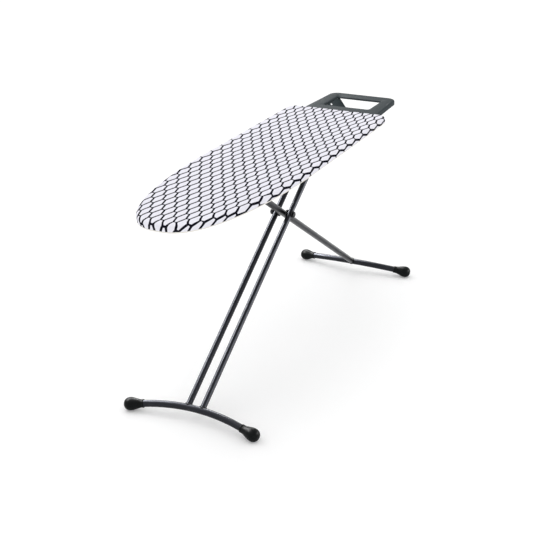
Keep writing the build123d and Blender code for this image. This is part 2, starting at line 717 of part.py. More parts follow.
with BuildPart() as pivot_washers:
    pivot_disc(WASHER_R, PIN_R, tube_outer_y, WASHER_T)
keep(pivot_washers, "pivot_washers")

with BuildPart() as pivot_spacers:
    pivot_disc(SPACER_R, PIN_R, bush_half + SIDE_GAP, tube_inner_y - bush_half - SIDE_GAP)
keep(pivot_spacers, "pivot_spacers")

# rear leg: one tube between the front pair, with the sliding axle across its top
foot_parts(-1, "rear")
TUBE_ABOVE_AXLE = 13.0

with BuildPart() as rear_tube:
    with BuildSketch(across_leg(-1, -LOWER_ARM + foot_rise)):
        Circle(REAR_TUBE_R)
        Circle(REAR_TUBE_R - TUBE_WALL, mode=Mode.SUBTRACT)
    extrude(amount=UPPER_ARM + LOWER_ARM - foot_rise + TUBE_ABOVE_AXLE)
    add(foot_space(-1), mode=Mode.SUBTRACT)
    for x, z, radius in ((PIVOT_X, PIVOT_Z, PIVOT_BUSH_R), (SLIDE_X, HINGE_Z, PIN_R)):
        with BuildSketch(Plane.XZ):
            with Locations((x, z)):
                Circle(radius)
        extrude(amount=2 * REAR_TUBE_R, both=True, mode=Mode.SUBTRACT)
    rear_tube.part = Part(rear_tube.solids().sort_by(SortBy.VOLUME)[-1:])
keep(rear_tube, "rear_tube")

with BuildPart() as pivot_bush:
    with BuildSketch(Plane.XZ):
        with Locations((PIVOT_X, PIVOT_Z)):
            Circle(PIVOT_BUSH_R)
            Circle(PIN_R + PIN_RUNNING_GAP, mode=Mode.SUBTRACT)
    extrude(amount=bush_half, both=True)
keep(pivot_bush, "pivot_bush")

BUSH_FLANGE_R = 10.0
BUSH_FLANGE_T = 2.4
bush_inner_y = RACK_INNER_Y - SIDE_GAP - BUSH_FLANGE_T
bush_outer_y = RACK_INNER_Y + RACK_T + 1.5
axle_half = bush_outer_y + CLIP_T + 2
with BuildPart() as slide_axle:
    with BuildSketch(Plane.XZ):
        with Locations((SLIDE_X, HINGE_Z)):
            Circle(PIN_R)
    extrude(amount=axle_half, both=True)
    chamfer(slide_axle.edges().filter_by(GeomType.CIRCLE), 0.8)
keep(slide_axle, "slide_axle")

with BuildPart() as slide_bushes:
    for s in SIDES.values():
        with BuildSketch(Plane.XZ.offset(-s * bush_inner_y)):
            with Locations((SLIDE_X, HINGE_Z)):
                Circle(BUSH_R)
                Circle(PIN_R, mode=Mode.SUBTRACT)
        extrude(amount=-s * (bush_outer_y - bush_inner_y))
        with BuildSketch(Plane.XZ.offset(-s * bush_inner_y)):
            with Locations((SLIDE_X, HINGE_Z)):
                Circle(BUSH_FLANGE_R)
                Circle(PIN_R, mode=Mode.SUBTRACT)
        extrude(amount=-s * BUSH_FLANGE_T)
keep(slide_bushes, "slide_bushes")

with BuildPart() as axle_clips:
    clip_pair(SLIDE_X, HINGE_Z, bush_outer_y)
keep(axle_clips, "axle_clips")

whole = Compound(children=made).bounding_box()
print("box", whole.min, whole.max, "foot rise", round(foot_rise, 2), "front hinge x",
      round(FRONT_HINGE_X, 3), "slide x", round(SLIDE_X, 3), "pivot", PIVOT_X, round(PIVOT_Z, 3))
print("hinge z", HINGE_Z, "rack bottom", rack_bottom, "foot half", round(foot_half, 3))
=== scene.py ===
"""Ironing board: its looks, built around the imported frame.

Metres, +Z up, +X from the nose to the iron rest.
"""
import json
import math

import bmesh
import bpy
import numpy as np
from mathutils import Matrix, Vector, noise


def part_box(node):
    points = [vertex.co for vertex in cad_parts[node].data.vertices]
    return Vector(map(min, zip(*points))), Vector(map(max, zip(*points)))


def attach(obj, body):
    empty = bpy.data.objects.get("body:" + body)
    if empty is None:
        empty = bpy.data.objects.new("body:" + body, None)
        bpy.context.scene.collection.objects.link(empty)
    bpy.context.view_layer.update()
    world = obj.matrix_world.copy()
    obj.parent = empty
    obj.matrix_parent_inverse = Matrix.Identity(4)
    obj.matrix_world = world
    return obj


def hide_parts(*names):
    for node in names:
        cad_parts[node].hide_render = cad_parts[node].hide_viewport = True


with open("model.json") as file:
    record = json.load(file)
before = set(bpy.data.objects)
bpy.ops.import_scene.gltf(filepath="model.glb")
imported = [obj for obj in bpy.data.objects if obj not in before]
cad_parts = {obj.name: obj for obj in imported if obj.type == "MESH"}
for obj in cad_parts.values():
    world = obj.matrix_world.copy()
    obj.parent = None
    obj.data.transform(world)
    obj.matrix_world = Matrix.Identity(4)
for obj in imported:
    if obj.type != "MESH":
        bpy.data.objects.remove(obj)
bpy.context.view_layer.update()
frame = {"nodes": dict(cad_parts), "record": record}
NODES = frame["nodes"]
MM = 0.001

# ------------------------------------------------------------------ sizes shared with the frame
COVER_LOW, COVER_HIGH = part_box("cover")
NOSE_X, REAR_X = COVER_LOW.x, COVER_HIGH.x
HALF_WIDTH = COVER_HIGH.y
TOP_Z, COVER_BOTTOM = COVER_HIGH.z, COVER_LOW.z
NOSE_LENGTH = 0.6126
NOSE_FULLNESS = 2.634
REAR_CORNER = 0.040
SIDE_START_X = NOSE_X + NOSE_LENGTH
EDGE_R = 0.0085
HEM_WIDTH = 0.031
FLAT_INSET = 0.026           # from the outline to where the top stops being flat
HEM_STARTS = 0.0408          # along the cloth from where it leaves the flat of the top

# ------------------------------------------------------------------ camera, light and floor
CAMERA_AT = Vector((-3.0823, -1.4900, 1.7537))
CAMERA_YAW = math.radians(26.514)
CAMERA_PITCH = math.radians(23.338)
CAMERA_ROLL = math.radians(-0.717)
CAMERA_LENS = 74.475


def make_camera():
    yaw, pitch = CAMERA_YAW, CAMERA_PITCH
    forward = Vector((math.cos(yaw) * math.cos(pitch), math.sin(yaw) * math.cos(pitch), -math.sin(pitch)))
    level = Vector((math.sin(yaw), -math.cos(yaw), 0))
    above = level.cross(forward)
    right = level * math.cos(CAMERA_ROLL) + above * math.sin(CAMERA_ROLL)
    up = above * math.cos(CAMERA_ROLL) - level * math.sin(CAMERA_ROLL)
    data = bpy.data.cameras.new("camera")
    data.lens, data.sensor_width = CAMERA_LENS, 36
    data.clip_end = 200
    camera = bpy.data.objects.new("camera", data)
    bpy.context.scene.collection.objects.link(camera)
    turn = Matrix((right, up, -forward)).transposed().to_4x4()
    camera.matrix_world = Matrix.Translation(CAMERA_AT) @ turn
    bpy.context.scene.camera = camera


def area_light(name, place, target, size, power, glossy_only=False):
    data = bpy.data.lights.new(name, "AREA")
    data.shape, data.size, data.size_y = "RECTANGLE", size[0], size[1]
    data.energy = power
    light = bpy.data.objects.new(name, data)
    bpy.context.scene.collection.objects.link(light)
    light.location = place
    light.rotation_euler = (Vector(target) - Vector(place)).to_track_quat("-Z", "Y").to_euler()
    light.visible_camera = False
    light.visible_diffuse = not glossy_only


def make_stage():
    world = bpy.data.worlds.new("studio")
    bpy.context.scene.world = world
    world.use_nodes = True
    background = world.node_tree.nodes["Background"]
    background.inputs["Color"].default_value = (1.0, 1.0, 1.0, 1)
    background.inputs["Strength"].default_value = 1.0
    area_light("overhead", (0.6, 0.8, 3.4), (0, 0, 0.4), (2.4, 1.6), 14)
    area_light("left_strip", (0.4, 2.9, 3.0), (0, 0, 0.35), (3.4, 0.5), 380, True)
    area_light("right_strip", (1.3, -2.9, 1.1), (0, 0, 0.35), (2.6, 0.6), 110, True)
    area_light("back_strip", (2.6, 1.6, 3.2), (0, 0, 0.3), (0.6, 2.8), 190, True)
    bpy.context.scene.view_settings.view_transform = "Standard"
    bpy.ops.mesh.primitive_plane_add(size=120)
    floor = bpy.context.object
    floor.name = "floor"
    floor.data.materials.append(floor_material())


# ------------------------------------------------------------------ material helpers
class Nodes:
    """Short calls for a material's node tree."""

    def __init__(self, name):
        self.material = bpy.data.materials.new(name)
        self.material.use_nodes = True
        self.tree = self.material.node_tree
        self.shader = self.tree.nodes["Principled BSDF"]

    def add(self, kind, **settings):
        node = self.tree.nodes.new(kind)
        for key, value in settings.items():
            setattr(node, key, value)
        return node

    def put(self, value, socket):
        if isinstance(value, bpy.types.NodeSocket):
            self.tree.links.new(value, socket)
        else:
            socket.default_value = value

    def math(self, operation, a, b=0.0, c=0.0, clamp=False):
        node = self.add("ShaderNodeMath", operation=operation, use_clamp=clamp)
        for value, socket in zip((a, b, c), node.inputs):
            self.put(value, socket)
        return node.outputs[0]

    def noise(self, coords, scale, detail=3.0, rough=0.5):
        node = self.add("ShaderNodeTexNoise")
        self.put(coords, node.inputs["Vector"])
        node.inputs["Scale"].default_value = scale
        node.inputs["Detail"].default_value = detail
        node.inputs["Roughness"].default_value = rough
        return node.outputs["Fac"]

    def place(self):
        return self.add("ShaderNodeTexCoord").outputs["Object"]

    def stretch(self, coords, scale):
        node = self.add("ShaderNodeMapping")
        self.put(coords, node.inputs["Vector"])
        node.inputs["Scale"].default_value = scale
        return node.outputs["Vector"]

    def span(self, value, low, high, out_low=0.0, out_high=1.0):
        node = self.add("ShaderNodeMapRange", interpolation_type="SMOOTHSTEP")
        for item, socket in zip((value, low, high, out_low, out_high), node.inputs):
            self.put(item, socket)
        return node.outputs[0]

    def mix(self, factor, a, b):
        node = self.add("ShaderNodeMix", data_type="RGBA")
        self.put(factor, node.inputs["Factor"])
        for value, socket in ((a, node.inputs[6]), (b, node.inputs[7])):
            self.put((*value, 1.0) if isinstance(value, tuple) and len(value) == 3 else value, socket)
        return node.outputs[2]

    def bump(self, height, distance, strength=1.0, under=None):
        node = self.add("ShaderNodeBump")
        self.put(height, node.inputs["Height"])
        node.inputs["Distance"].default_value = distance
        node.inputs["Strength"].default_value = strength
        if under is not None:
            self.put(under, node.inputs["Normal"])
        return node.outputs["Normal"]

    def set(self, **sockets):
        for name, value in sockets.items():
            self.put(value, self.shader.inputs[name.replace("_", " ")])


def floor_material():
    n = Nodes("floor")
    cloudy = n.noise(n.place(), 0.6)
    n.set(Base_Color=n.mix(cloudy, (0.92, 0.92, 0.925), (0.93, 0.93, 0.93)), Roughness=0.9)
    n.shader.inputs["Specular IOR Level"].default_value = 0.05
    n.shader.inputs["Emission Color"].default_value = (1, 1, 1, 1)
    n.shader.inputs["Emission Strength"].default_value = 0.12
    return n.material


# The net of long hexagons printed on the cover, in metres along the cloth.
HEX_LONG = 0.06759
HEX_ACROSS = 0.04027
HEX_STROKE = 0.0110
HEX_CENTRE = (-0.55006, 0.07344)
LINE_WIDTH = 0.0058
WALL_LINE_WIDTH = 0.0078     # where the cloth is pulled over the edge
LINE_SOFT = 0.0004
NOSE_SLIP = 0.006            # how far the print has crept sideways where the cloth turns down at the nose


def smooth_step(share):
    share = max(0.0, min(1.0, share))
    return share * share * (3 - 2 * share)


def cloth_at(x, y):
    """Where a point of the board lies on the slightly skewed and stretched cloth."""
    curl = y**3 * (1 - smooth_step((abs(y) - 0.145) / 0.045))
    u = x - 0.0612 * y - 0.476 * y**2 + 1.25 * curl - 0.0608 * x * y
    v = y + 0.0110 * x - 0.0192 * x * y - 0.145 * y**2 + 0.860 * curl
    return u, v


def hexagon_lines(n, along, across, half_width):
    """1 on the printed lines and 0 between them."""
    half_long, half_across, half_stroke = HEX_LONG / 2, HEX_ACROSS / 2, HEX_STROKE / 2
    peak = half_across - half_stroke
    u = n.math("PINGPONG", n.math("SUBTRACT", along, HEX_CENTRE[0]), half_long)
    v = n.math("PINGPONG", n.math("SUBTRACT", across, HEX_CENTRE[1]), half_across)
    rise = peak - half_stroke
    length = math.hypot(rise, half_long)
    slope = n.math("MULTIPLY", u, rise / length)
    slope = n.math("ADD", slope, n.math("MULTIPLY", n.math("SUBTRACT", v, peak), half_long / length))
    slanted = n.math("ABSOLUTE", slope)
    side = n.math("MAXIMUM", n.math("SUBTRACT", half_long, u), n.math("SUBTRACT", v, half_stroke))
    middle = n.math("MAXIMUM", u, n.math("SUBTRACT", peak, v))
    near = n.math("MINIMUM", slanted, n.math("MINIMUM", side, middle))
    return n.span(n.math("SUBTRACT", near, half_width), -LINE_SOFT, LINE_SOFT, 1.0, 0.0)


def cover_material():
    n = Nodes("cover_cotton")
    cloth = n.add("ShaderNodeAttribute", attribute_name="cloth").outputs["Vector"]
    parts = n.add("ShaderNodeSeparateXYZ")
    n.put(cloth, parts.inputs[0])
    along, across, past_edge = parts.outputs[0], parts.outputs[1], parts.outputs[2]
    bleed = n.math("MULTIPLY", n.math("SUBTRACT", n.noise(cloth, 900, 2.0), 0.5), 0.0007)
    half_width = n.span(past_edge, 0.014, 0.028, LINE_WIDTH / 2, WALL_LINE_WIDTH / 2)
    lines = hexagon_lines(n, n.math("ADD", along, bleed), n.math("ADD", across, bleed), half_width)
    ground = n.mix(n.noise(cloth, 14, 3.0), (0.79, 0.782, 0.855), (0.85, 0.842, 0.90))
    ink = n.mix(n.noise(cloth, 420, 2.0), (0.004, 0.004, 0.008), (0.012, 0.012, 0.020))
    yarn = 2 * math.pi / 0.0009
    warp = n.math("SINE", n.math("MULTIPLY", along, yarn))
    weft = n.math("SINE", n.math("MULTIPLY", across, yarn))
    weave = n.math("MULTIPLY", warp, weft)
    shade = n.span(weave, -1.0, 1.0, 0.0, 1.0)
    ground = n.mix(n.math("MULTIPLY", shade, 0.10), ground, (0.62, 0.62, 0.67))
    binding = n.span(past_edge, HEM_STARTS - 0.0002, HEM_STARTS + 0.0002)
    colour = n.mix(binding, n.mix(lines, ground, ink), (0.80, 0.775, 0.73))
    n.set(
        Base_Color=colour,
        Roughness=n.span(n.noise(cloth, 60), 0.2, 0.8, 0.72, 0.86),
        Normal=n.bump(weave, 0.00012, 0.6, n.bump(n.noise(cloth, 38, 4.0), 0.0012, 0.35)),
    )
    n.shader.inputs["Sheen Weight"].default_value = 0.0
    n.shader.inputs["Specular IOR Level"].default_value = 0.0
    return n.material


def plain_cotton():
    """The unprinted binding round the cover's hem."""
    n = Nodes("hem_binding")
    place = n.place()
    thread = n.noise(n.stretch(place, (900, 900, 300)), 1.0, 2.0)
    n.set(
        Base_Color=n.mix(n.noise(place, 40), (0.80, 0.79, 0.78), (0.88, 0.87, 0.86)),
        Roughness=n.span(thread, 0.3, 0.7, 0.75, 0.9),
        Normal=n.bump(thread, 0.0003, 0.7),
    )
    n.shader.inputs["Sheen Weight"].default_value = 0.2
    return n.material


def felt_material():
    n = Nodes("felt")
    place = n.place()
    fibre = n.noise(place, 600, 6.0, 0.7)
    n.set(
        Base_Color=n.mix(n.noise(place, 120, 5.0), (0.66, 0.64, 0.58), (0.82, 0.80, 0.74)),
        Roughness=n.span(fibre, 0.3, 0.7, 0.85, 1.0),
        Normal=n.bump(fibre, 0.0008, 0.9),
    )
    n.shader.inputs["Sheen Weight"].default_value = 0.4
    return n.material


def graphite_metal():
    """Glossy dark metallic finish of the leg tubes, with a slight orange peel and handling marks."""
    n = Nodes("graphite_metal")
    place = n.place()
    marks = n.span(n.noise(place, 46, 5.0, 0.65), 0.58, 0.74)
    flake = n.noise(place, 2600, 1.0)
    tone = n.mix(flake, (0.016, 0.017, 0.021), (0.027, 0.028, 0.033))
    n.set(
        Base_Color=n.mix(n.math("MULTIPLY", marks, 0.12), tone, (0.10, 0.10, 0.105)),
        Roughness=n.span(n.noise(place, 30, 4.0), 0.25, 0.75, 0.27, 0.37),
        Normal=n.bump(n.noise(place, 420, 2.0), 0.00010, 0.3),
    )
    n.shader.inputs["Metallic"].default_value = 0.95
    n.shader.inputs["Coat Weight"].default_value = 0.08
    n.shader.inputs["Coat Roughness"].default_value = 0.12
    return n.material


def weld_metal():
    """Dark, rougher metal of the weld beads."""
    n = Nodes("weld_metal")
    place = n.place()
    n.set(
        Base_Color=n.mix(n.noise(place, 300, 3.0), (0.002, 0.002, 0.003), (0.010, 0.010, 0.011)),
        Roughness=n.span(n.noise(place, 160, 3.0), 0.3, 0.7, 0.40, 0.60),
        Normal=n.bump(n.noise(place, 700, 3.0), 0.0003, 0.6),
    )
    n.shader.inputs["Metallic"].default_value = 0.7
    return n.material


def painted_steel(name, low, high, rough=(0.38, 0.52)):
    """Powder-coated sheet steel."""
    n = Nodes(name)
    place = n.place()
    grain = n.noise(place, 1400, 2.0)
    n.set(
        Base_Color=n.mix(n.noise(place, 25, 4.0), low, high),
        Roughness=n.span(n.noise(place, 60), 0.2, 0.8, *rough),
        Normal=n.bump(grain, 0.00015, 0.5),
    )
    n.shader.inputs["Metallic"].default_value = 0.3
    return n.material


def zinc_metal():
    """Black zinc plating with a faint crystalline mottle."""
    n = Nodes("zinc")
    place = n.place()
    cells = n.add("ShaderNodeTexVoronoi")
    n.put(place, cells.inputs["Vector"])
    cells.inputs["Scale"].default_value = 700
    n.set(
        Base_Color=n.mix(cells.outputs["Distance"], (0.022, 0.022, 0.024), (0.040, 0.041, 0.044)),
        Roughness=n.span(n.noise(place, 240, 3.0), 0.2, 0.8, 0.30, 0.46),
        Normal=n.bump(n.noise(place, 1600), 0.00008, 0.4),
    )
    n.shader.inputs["Metallic"].default_value = 1.0
    return n.material


def moulded_plastic(name, low, high, grain_scale=1500, rough=(0.42, 0.55), specular=0.45):
    """Moulded plastic with a spark-eroded grain."""
    n = Nodes(name)
    place = n.place()
    texture = n.noise(place, grain_scale, 3.0, 0.6)
    n.set(
        Base_Color=n.mix(n.noise(place, 18, 4.0), low, high),
        Roughness=n.span(n.noise(place, 90, 3.0), 0.2, 0.8, *rough),
        Normal=n.bump(texture, 0.00012, 0.6),
    )
    n.shader.inputs["Specular IOR Level"].default_value = specular
    return n.material


def rubber_material():
    n = Nodes("rubber")
    place = n.place()
    dust = n.span(n.noise(place, 55, 5.0, 0.6), 0.50, 0.80)
    n.set(
        Base_Color=n.mix(n.math("MULTIPLY", dust, 0.5), (0.0018, 0.0026, 0.0026), (0.007, 0.0085, 0.008)),
        Roughness=n.span(n.noise(place, 130, 3.0), 0.2, 0.8, 0.30, 0.44),
        Normal=n.bump(n.noise(place, 900, 3.0), 0.00018, 0.5),
    )
    n.shader.inputs["Specular IOR Level"].default_value = 0.10
    return n.material


# ------------------------------------------------------------------ mesh helpers
def piece(name, points, faces, material, body, smooth=True):
    """A mesh object that rides on a body and takes the material it is given."""
    mesh = bpy.data.meshes.new(name)
    mesh.from_pydata([tuple(p) for p in points], [], faces)
    mesh.validate()
    mesh.polygons.foreach_set("use_smooth", [smooth] * len(mesh.polygons))
    mesh.materials.append(material)
    made = bpy.data.objects.new(name, mesh)
    bpy.context.scene.collection.objects.link(made)
    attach(made, body)
    return made


def ring_faces(count, size, wrap=False):
    """Quads between neighbouring closed rings of points."""
    faces = []
    for k in range(count if wrap else count - 1):
        here, there = k * size, ((k + 1) % count) * size
        for i in range(size):
            j = (i + 1) % size
            faces.append((here + i, here + j, there + j, there + i))
    return faces


def face_outward(made):
    bm = bmesh.new()
    bm.from_mesh(made.data)
    bmesh.ops.recalc_face_normals(bm, faces=bm.faces)
    bm.to_mesh(made.data)
    bm.free()


def lathe(name, profile, origin, axis, material, body, sides=48):
    """Turns (along, radius) points round an axis, with closed ends."""
    axis = Vector(axis).normalized()
    side = axis.orthogonal().normalized()
    other = axis.cross(side)
    points = []
    for along, radius in profile:
        for i in range(sides):
            turn = 2 * math.pi * i / sides
            points.append(Vector(origin) + axis * along
                          + (side * math.cos(turn) + other * math.sin(turn)) * max(radius, 1e-5))
    faces = ring_faces(len(profile), sides)
    faces.append(tuple(range(sides))[::-1])
    last = (len(profile) - 1) * sides
    faces.append(tuple(range(last, last + sides)))
    made = piece(name, points, faces, material, body)
    face_outward(made)
    return made


def bead(name, centres, radius, material, body, sides=10, ripple=0.18):
    """A closed weld bead along a loop of points, with its frozen ripples."""
    count = len(centres)
    points = []
    for k in range(count):
        here, after = centres[k], centres[(k + 1) % count]
        before = centres[k - 1]
        ahead = (after - before).normalized()
        out = (here - sum(centres, Vector()) / count).normalized()
        up = ahead.cross(out).normalized()
        out = up.cross(ahead)
        wide = radius * (1 + ripple * math.sin(2 * math.pi * k / 4.0))
        for i in range(sides):
            turn = 2 * math.pi * i / sides
            points.append(here + (out * math.cos(turn) + up * math.sin(turn)) * wide)
    made = piece(name, points, ring_faces(count, sides, wrap=True), material, body)
    face_outward(made)
    return made


# ------------------------------------------------------------------ the covered top
OUTLINE_POINTS = 1200


def dense_outline(inset=0.0):
    """Closed outline of the board, counter-clockwise from above, finely sampled."""
    nose = []
    for k in range(2001):
        turn = math.pi * (k / 2000) - math.pi / 2
        x = SIDE_START_X - NOSE_LENGTH * math.cos(turn)
        y = -math.copysign(abs(math.sin(turn)) ** (2 / NOSE_FULLNESS), turn) * HALF_WIDTH
        nose.append((x, y))
    corner_x, corner_y = REAR_X - REAR_CORNER, HALF_WIDTH - REAR_CORNER
    line = [(x, -HALF_WIDTH) for x in np.linspace(SIDE_START_X, corner_x, 400)[1:-1]]
    for k in range(101):
        turn = -math.pi / 2 + math.pi / 2 * k / 100
        line.append((corner_x + REAR_CORNER * math.cos(turn), -corner_y + REAR_CORNER * math.sin(turn)))
    line += [(REAR_X, y) for y in np.linspace(-corner_y, corner_y, 200)[1:-1]]
    for k in range(101):
        turn = math.pi / 2 * k / 100
        line.append((corner_x + REAR_CORNER * math.cos(turn), corner_y + REAR_CORNER * math.sin(turn)))
    line += [(x, HALF_WIDTH) for x in np.linspace(corner_x, SIDE_START_X, 400)[1:]]
    return np.array(nose + line)


def even_outline(count):
    """Evenly spaced outline points and their outward normals."""
    dense = dense_outline()
    keep = np.r_[True, np.linalg.norm(np.diff(dense, axis=0), axis=1) > 1e-7]
    dense = dense[keep]
    closed = np.vstack([dense, dense[:1]])
    run = np.r_[0, np.cumsum(np.linalg.norm(np.diff(closed, axis=0), axis=1))]
    at = np.linspace(0, run[-1], count, endpoint=False)
    points = np.stack([np.interp(at, run, closed[:, 0]), np.interp(at, run, closed[:, 1])], 1)
    ahead = np.roll(points, -3, axis=0) - np.roll(points, 3, axis=0)
    normal = np.stack([ahead[:, 1], -ahead[:, 0]], 1)
    normal /= np.linalg.norm(normal, axis=1)[:, None]
    if (normal * (points - points.mean(0))).sum() < 0:
        normal = -normal
    return points, normal, at


def spine_point(p):
    """The point on the board's middle line that an inner mesh line runs towards."""
    return np.array([min(max(p[0], NOSE_X + 0.16), REAR_X - 0.12), 0.0])


def cover_profile():
    """(inset, height, cloth length past the flat top), from the top's edge round to the hem."""
    steps = [(FLAT_INSET, TOP_Z), (0.018, TOP_Z), (0.0125, TOP_Z - 0.0001)]
    centre_z = TOP_Z - EDGE_R
    for k in range(9):
        turn = math.pi / 2 * (1 - k / 8)
        steps.append((EDGE_R - EDGE_R * math.cos(turn), centre_z + EDGE_R * math.sin(turn)))
    steps.append((0.0002, centre_z - 0.0035))
    steps.append((0.0004, centre_z - 0.0070))
    low_r = 0.0038
    for k in range(7):
        turn = math.pi / 2 * k / 6
        steps.append((0.0004 + low_r - low_r * math.cos(turn),
                      COVER_BOTTOM + low_r - low_r * math.sin(turn)))
    steps += [(inset, COVER_BOTTOM) for inset in (0.008, 0.012, 0.016, 0.020, 0.024, HEM_WIDTH - 0.004)]
    profile, run = [], 0.0
    for k, (inset, z) in enumerate(steps):
        if k:
            run += math.hypot(inset - steps[k - 1][0], z - steps[k - 1][1])
        profile.append((inset, z, run))
    return profile


GATHER_PITCH = 0.0135        # between the small gathers of the hem
INNER_RINGS = 16
HEM_SIDES = 10


def gather(p, along):
    """-1 to 1 across the hem's gathers, a little uneven."""
    uneven = 2.2 * noise.noise(Vector((p[0] * 18, p[1] * 18, 3)))
    return math.sin(2 * math.pi * along / GATHER_PITCH + uneven)


def make_cover(material, binding):
    """The stretched cotton cover: flat on top, rolled over the edge and gathered under the rim."""
    outline, normal, at = even_outline(OUTLINE_POINTS)
    profile = cover_profile()
    edge = outline - normal * FLAT_INSET
    points, cloth = [], []
    spine = np.array([spine_point(p) for p in edge])
    for k in range(INNER_RINGS):
        share = (k / INNER_RINGS) ** 0.85
        ring = spine + (edge - spine) * share
        for x, y in ring:
            swell = noise.noise(Vector((x * 11, y * 11, 0))) * 0.35 * MM
            points.append((x, y, TOP_Z + swell))
            cloth.append((*cloth_at(x, y), 0.0))
    for inset, z, run in profile:
        under = max(0.0, min(1.0, (inset - 0.004) / 0.02)) if z < COVER_BOTTOM + 0.004 else 0.0
        for i, (p, n) in enumerate(zip(outline, normal)):
            pucker = gather(p, at[i])
            deep = (0.0006 + 0.0013 * (0.5 + noise.noise(Vector((p[0] * 9, p[1] * 9, 7))))) * under
            wall = noise.noise(Vector((p[0] * 24, p[1] * 24, z * 60))) * 0.45 * MM
            side = 1.0 if TOP_Z - EDGE_R > z > COVER_BOTTOM + 0.001 else 0.3
            q = p - n * (inset + wall * side)
            points.append((q[0], q[1], z - max(0.0, deep * (0.5 + 0.5 * pucker))))
            base = p - n * FLAT_INSET + n * run
            at_nose = smooth_step((NOSE_X + 0.195 - p[0]) / 0.10)
            along, across = cloth_at(base[0], base[1])
            cloth.append((along, across + NOSE_SLIP * at_nose * smooth_step(run / 0.026), run))
    size = OUTLINE_POINTS
    faces = ring_faces(INNER_RINGS + len(profile), size)
    made = piece("cover_cloth", points, faces, material, "board")
    attribute = made.data.attributes.new("cloth", "FLOAT_VECTOR", "POINT")
    attribute.data.foreach_set("vector", np.array(cloth, np.float32).ravel())
    bm = bmesh.new()
    bm.from_mesh(made.data)
    bmesh.ops.remove_doubles(bm, verts=bm.verts, dist=1e-5)
    bmesh.ops.recalc_face_normals(bm, faces=bm.faces)
    if sum(f.normal.z * f.calc_area() for f in bm.faces if f.calc_center_median().z > TOP_Z - 0.002) < 0:
        bmesh.ops.reverse_faces(bm, faces=bm.faces)
    bm.to_mesh(made.data)
    bm.free()
    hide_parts("cover")

    hem_points = []
    for i, (p, n) in enumerate(zip(outline, normal)):
        pucker = gather(p, at[i])
        centre = p - n * HEM_WIDTH
        tube = 0.0021 + 0.0003 * pucker
        for k in range(HEM_SIDES):
            turn = 2 * math.pi * k / HEM_SIDES
            q = centre + n * math.cos(turn) * 0.0045
            z = COVER_BOTTOM + 0.0001 + math.sin(turn) * tube - 0.0004 * pucker
            hem_points.append((q[0], q[1], z))
    faces = ring_faces(size, HEM_SIDES, wrap=True)
    hem = piece("cover_hem", hem_points, faces, binding, "board")
    face_outward(hem)


FELT_POINTS = 400
SHARES = (0.0, 0.25, 0.5, 0.75, 1.0)


def make_padding(material):
    """The felt under the cover, seen only through the holes of the panel."""
    low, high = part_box("padding")
    outline, normal, _ = even_outline(FELT_POINTS)
    inset0 = HALF_WIDTH - high.y
    low_radius, high_radius = 0.0003, 0.0059
    rings = []
    for k in range(6):
        turn = math.pi / 2 * k / 5
        inward, upward = 1 - math.sin(turn), 1 - math.cos(turn)
        rings.append((inset0 + low_radius * inward, low.z + low_radius * upward))
    for k in range(6):
        turn = math.pi / 2 * k / 5
        inward, downward = 1 - math.cos(turn), 1 - math.sin(turn)
        rings.append((inset0 + high_radius * inward, high.z - high_radius * downward))
    points = []
    edge = outline - normal * (inset0 + 0.02)
    spine = np.array([spine_point(p) for p in edge])

    def add_flat(z, order):
        for share in order:
            for (x, y) in spine + (edge - spine) * share:
                fuzz = noise.noise(Vector((x * 90, y * 90, z * 900))) * 0.12 * MM
                points.append((x, y, z + fuzz))

    add_flat(low.z + 0.0002, SHARES)
    for inset, z in rings:
        for p, n in zip(outline, normal):
            q = p - n * inset
            points.append((q[0], q[1], z))
    add_flat(high.z - 0.0002, SHARES[::-1])
    made = piece("padding_felt", points, ring_faces(2 * len(SHARES) + len(rings), FELT_POINTS),
                 material, "board")
    bm = bmesh.new()
    bm.from_mesh(made.data)
    bmesh.ops.remove_doubles(bm, verts=bm.verts, dist=1e-5)
    bmesh.ops.recalc_face_normals(bm, faces=bm.faces)
    bm.to_mesh(made.data)
    bm.free()
    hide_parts("padding")


# ------------------------------------------------------------------ iron rest
def rounded_loop(corners, radii, arc_steps=12, side_steps=14):
    """Points round a polygon with rounded corners, the same number for each corner and side."""
    count = len(corners)
    arcs = []
    for k in range(count):
        here = Vector(corners[k])
        back = (Vector(corners[k - 1]) - here).normalized()
        ahead = (Vector(corners[(k + 1) % count]) - here).normalized()
        half = math.acos(max(-1, min(1, back.dot(ahead)))) / 2
        centre = here + (back + ahead).normalized() * (radii[k] / math.sin(half))
        start = here + back * (radii[k] / math.tan(half)) - centre
        end = here + ahead * (radii[k] / math.tan(half)) - centre
        a0, a1 = math.atan2(start.y, start.x), math.atan2(end.y, end.x)
        sweep = (a1 - a0 + math.pi) % (2 * math.pi) - math.pi
        arcs.append([centre + Vector((math.cos(a0 + sweep * i / arc_steps),
                                      math.sin(a0 + sweep * i / arc_steps))) * radii[k]
                     for i in range(arc_steps + 1)])
    loop = []
    for k in range(count):
        loop += arcs[k]
        a, b = arcs[k][-1], arcs[(k + 1) % count][0]
        loop += [a.lerp(b, i / side_steps) for i in range(1, side_steps)]
    return loop


REST_NEAR_HALF = 0.141
REST_FAR_HALF = 0.130
REST_CORNER = 0.010
REST_FAR_CORNER = 0.034
REST_DEPTH = 0.017
OPENING_NEAR_X = REAR_X + 0.065
OPENING_FAR_X = REAR_X + 0.203
OPENING_HALF = 0.089
OPENING_DEPTH = 0.008


